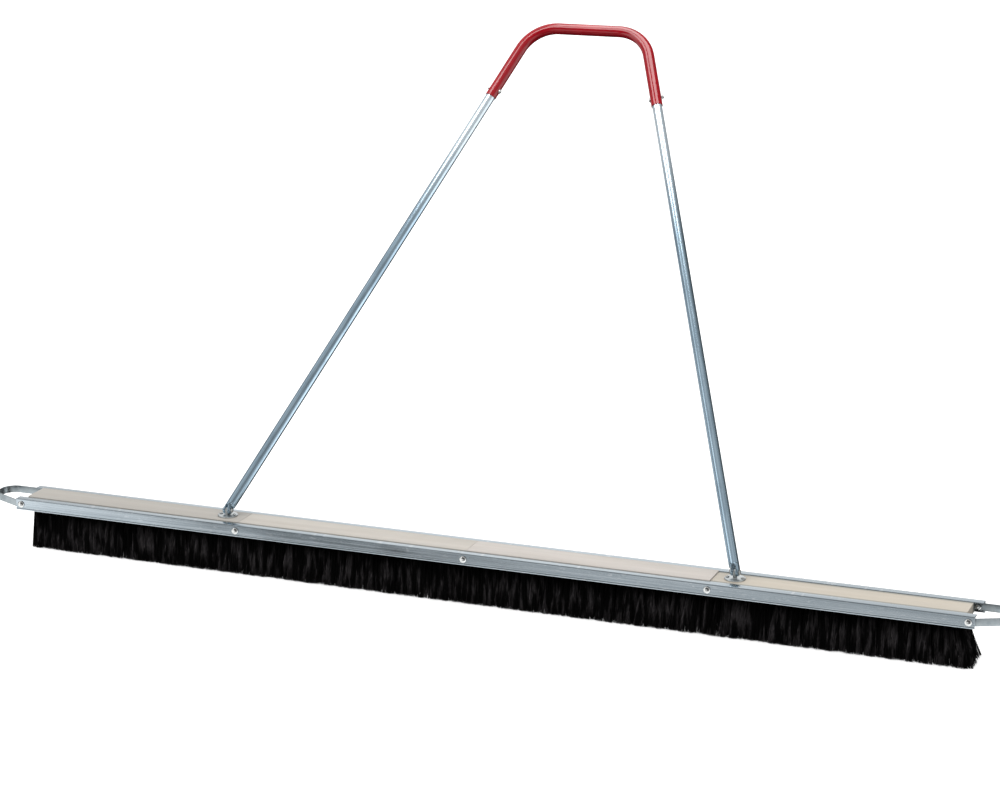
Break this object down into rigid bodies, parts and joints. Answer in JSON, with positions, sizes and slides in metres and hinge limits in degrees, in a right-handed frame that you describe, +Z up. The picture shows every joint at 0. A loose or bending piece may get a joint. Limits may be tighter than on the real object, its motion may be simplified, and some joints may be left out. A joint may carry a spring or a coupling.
{
  "type": "drag brush",
  "caption": "Long floor drag brush: bristled wooden sections between two metal rails, a flat-bar tow loop at each end and a tilting A-frame handle with a bent grip.",
  "frame": {"origin": "on the ground under the middle of the head, at the centre of the bristles' underside", "axes": "+X along the head, -Y towards the head's front, +Y the way the handle leans at rest, +Z up"},
  "size_m": [2.294, 0.7782, 1.1169],
  "materials": {
    "rail_aluminium": "satin",
    "tube_aluminium": "polished",
    "strap_steel": "satin",
    "zinc_steel": "satin",
    "brush_wood": "matte",
    "bristle_black": "matte",
    "grip_red": "gloss"
  },
  "bodies": {
    "head": {"front_rail": "rail_aluminium", "rear_rail": "rail_aluminium", "brush_block_1": "brush_wood", "brush_block_2": "brush_wood", "brush_block_3": "brush_wood", "brush_block_4": "brush_wood", "bristles_1": "bristle_black", "bristles_2": "bristle_black", "bristles_3": "bristle_black", "bristles_4": "bristle_black", "tow_loop_left": "strap_steel", "tow_loop_right": "strap_steel", "seam_bolt_1": "zinc_steel", "seam_washer_1": "zinc_steel", "seam_nut_1": "zinc_steel", "seam_bolt_2": "zinc_steel", "seam_washer_2": "zinc_steel", "seam_nut_2": "zinc_steel", "seam_bolt_3": "zinc_steel", "seam_washer_3": "zinc_steel", "seam_nut_3": "zinc_steel", "loop_bolt_front_left": "zinc_steel", "loop_nut_front_left": "zinc_steel", "loop_bolt_rear_left": "zinc_steel", "loop_nut_rear_left": "zinc_steel", "loop_bolt_front_right": "zinc_steel", "loop_nut_front_right": "zinc_steel", "loop_bolt_rear_right": "zinc_steel", "loop_nut_rear_right": "zinc_steel", "pivot_base_left": "zinc_steel", "base_screw_left_outer": "zinc_steel", "base_screw_left_inner": "zinc_steel", "pivot_base_right": "zinc_steel", "base_screw_right_outer": "zinc_steel", "base_screw_right_inner": "zinc_steel"},
    "handle": {"pivot_fork_left": "zinc_steel", "pivot_bolt_left": "zinc_steel", "pivot_nut_left": "zinc_steel", "pivot_fork_right": "zinc_steel", "pivot_bolt_right": "zinc_steel", "pivot_nut_right": "zinc_steel", "grip": "grip_red", "handle_tube_left": "tube_aluminium", "grip_bolt_left": "zinc_steel", "grip_nut_left": "zinc_steel", "handle_tube_right": "tube_aluminium", "grip_bolt_right": "zinc_steel", "grip_nut_right": "zinc_steel"}
  },
  "joints": [
    {"name": "handle_tilt", "type": "hinge", "parent": "head", "child": "handle", "pos_m": [0, 0, 0.1255], "axis": [1, 0, 0], "range_deg": [-46, 118]}
  ]
}
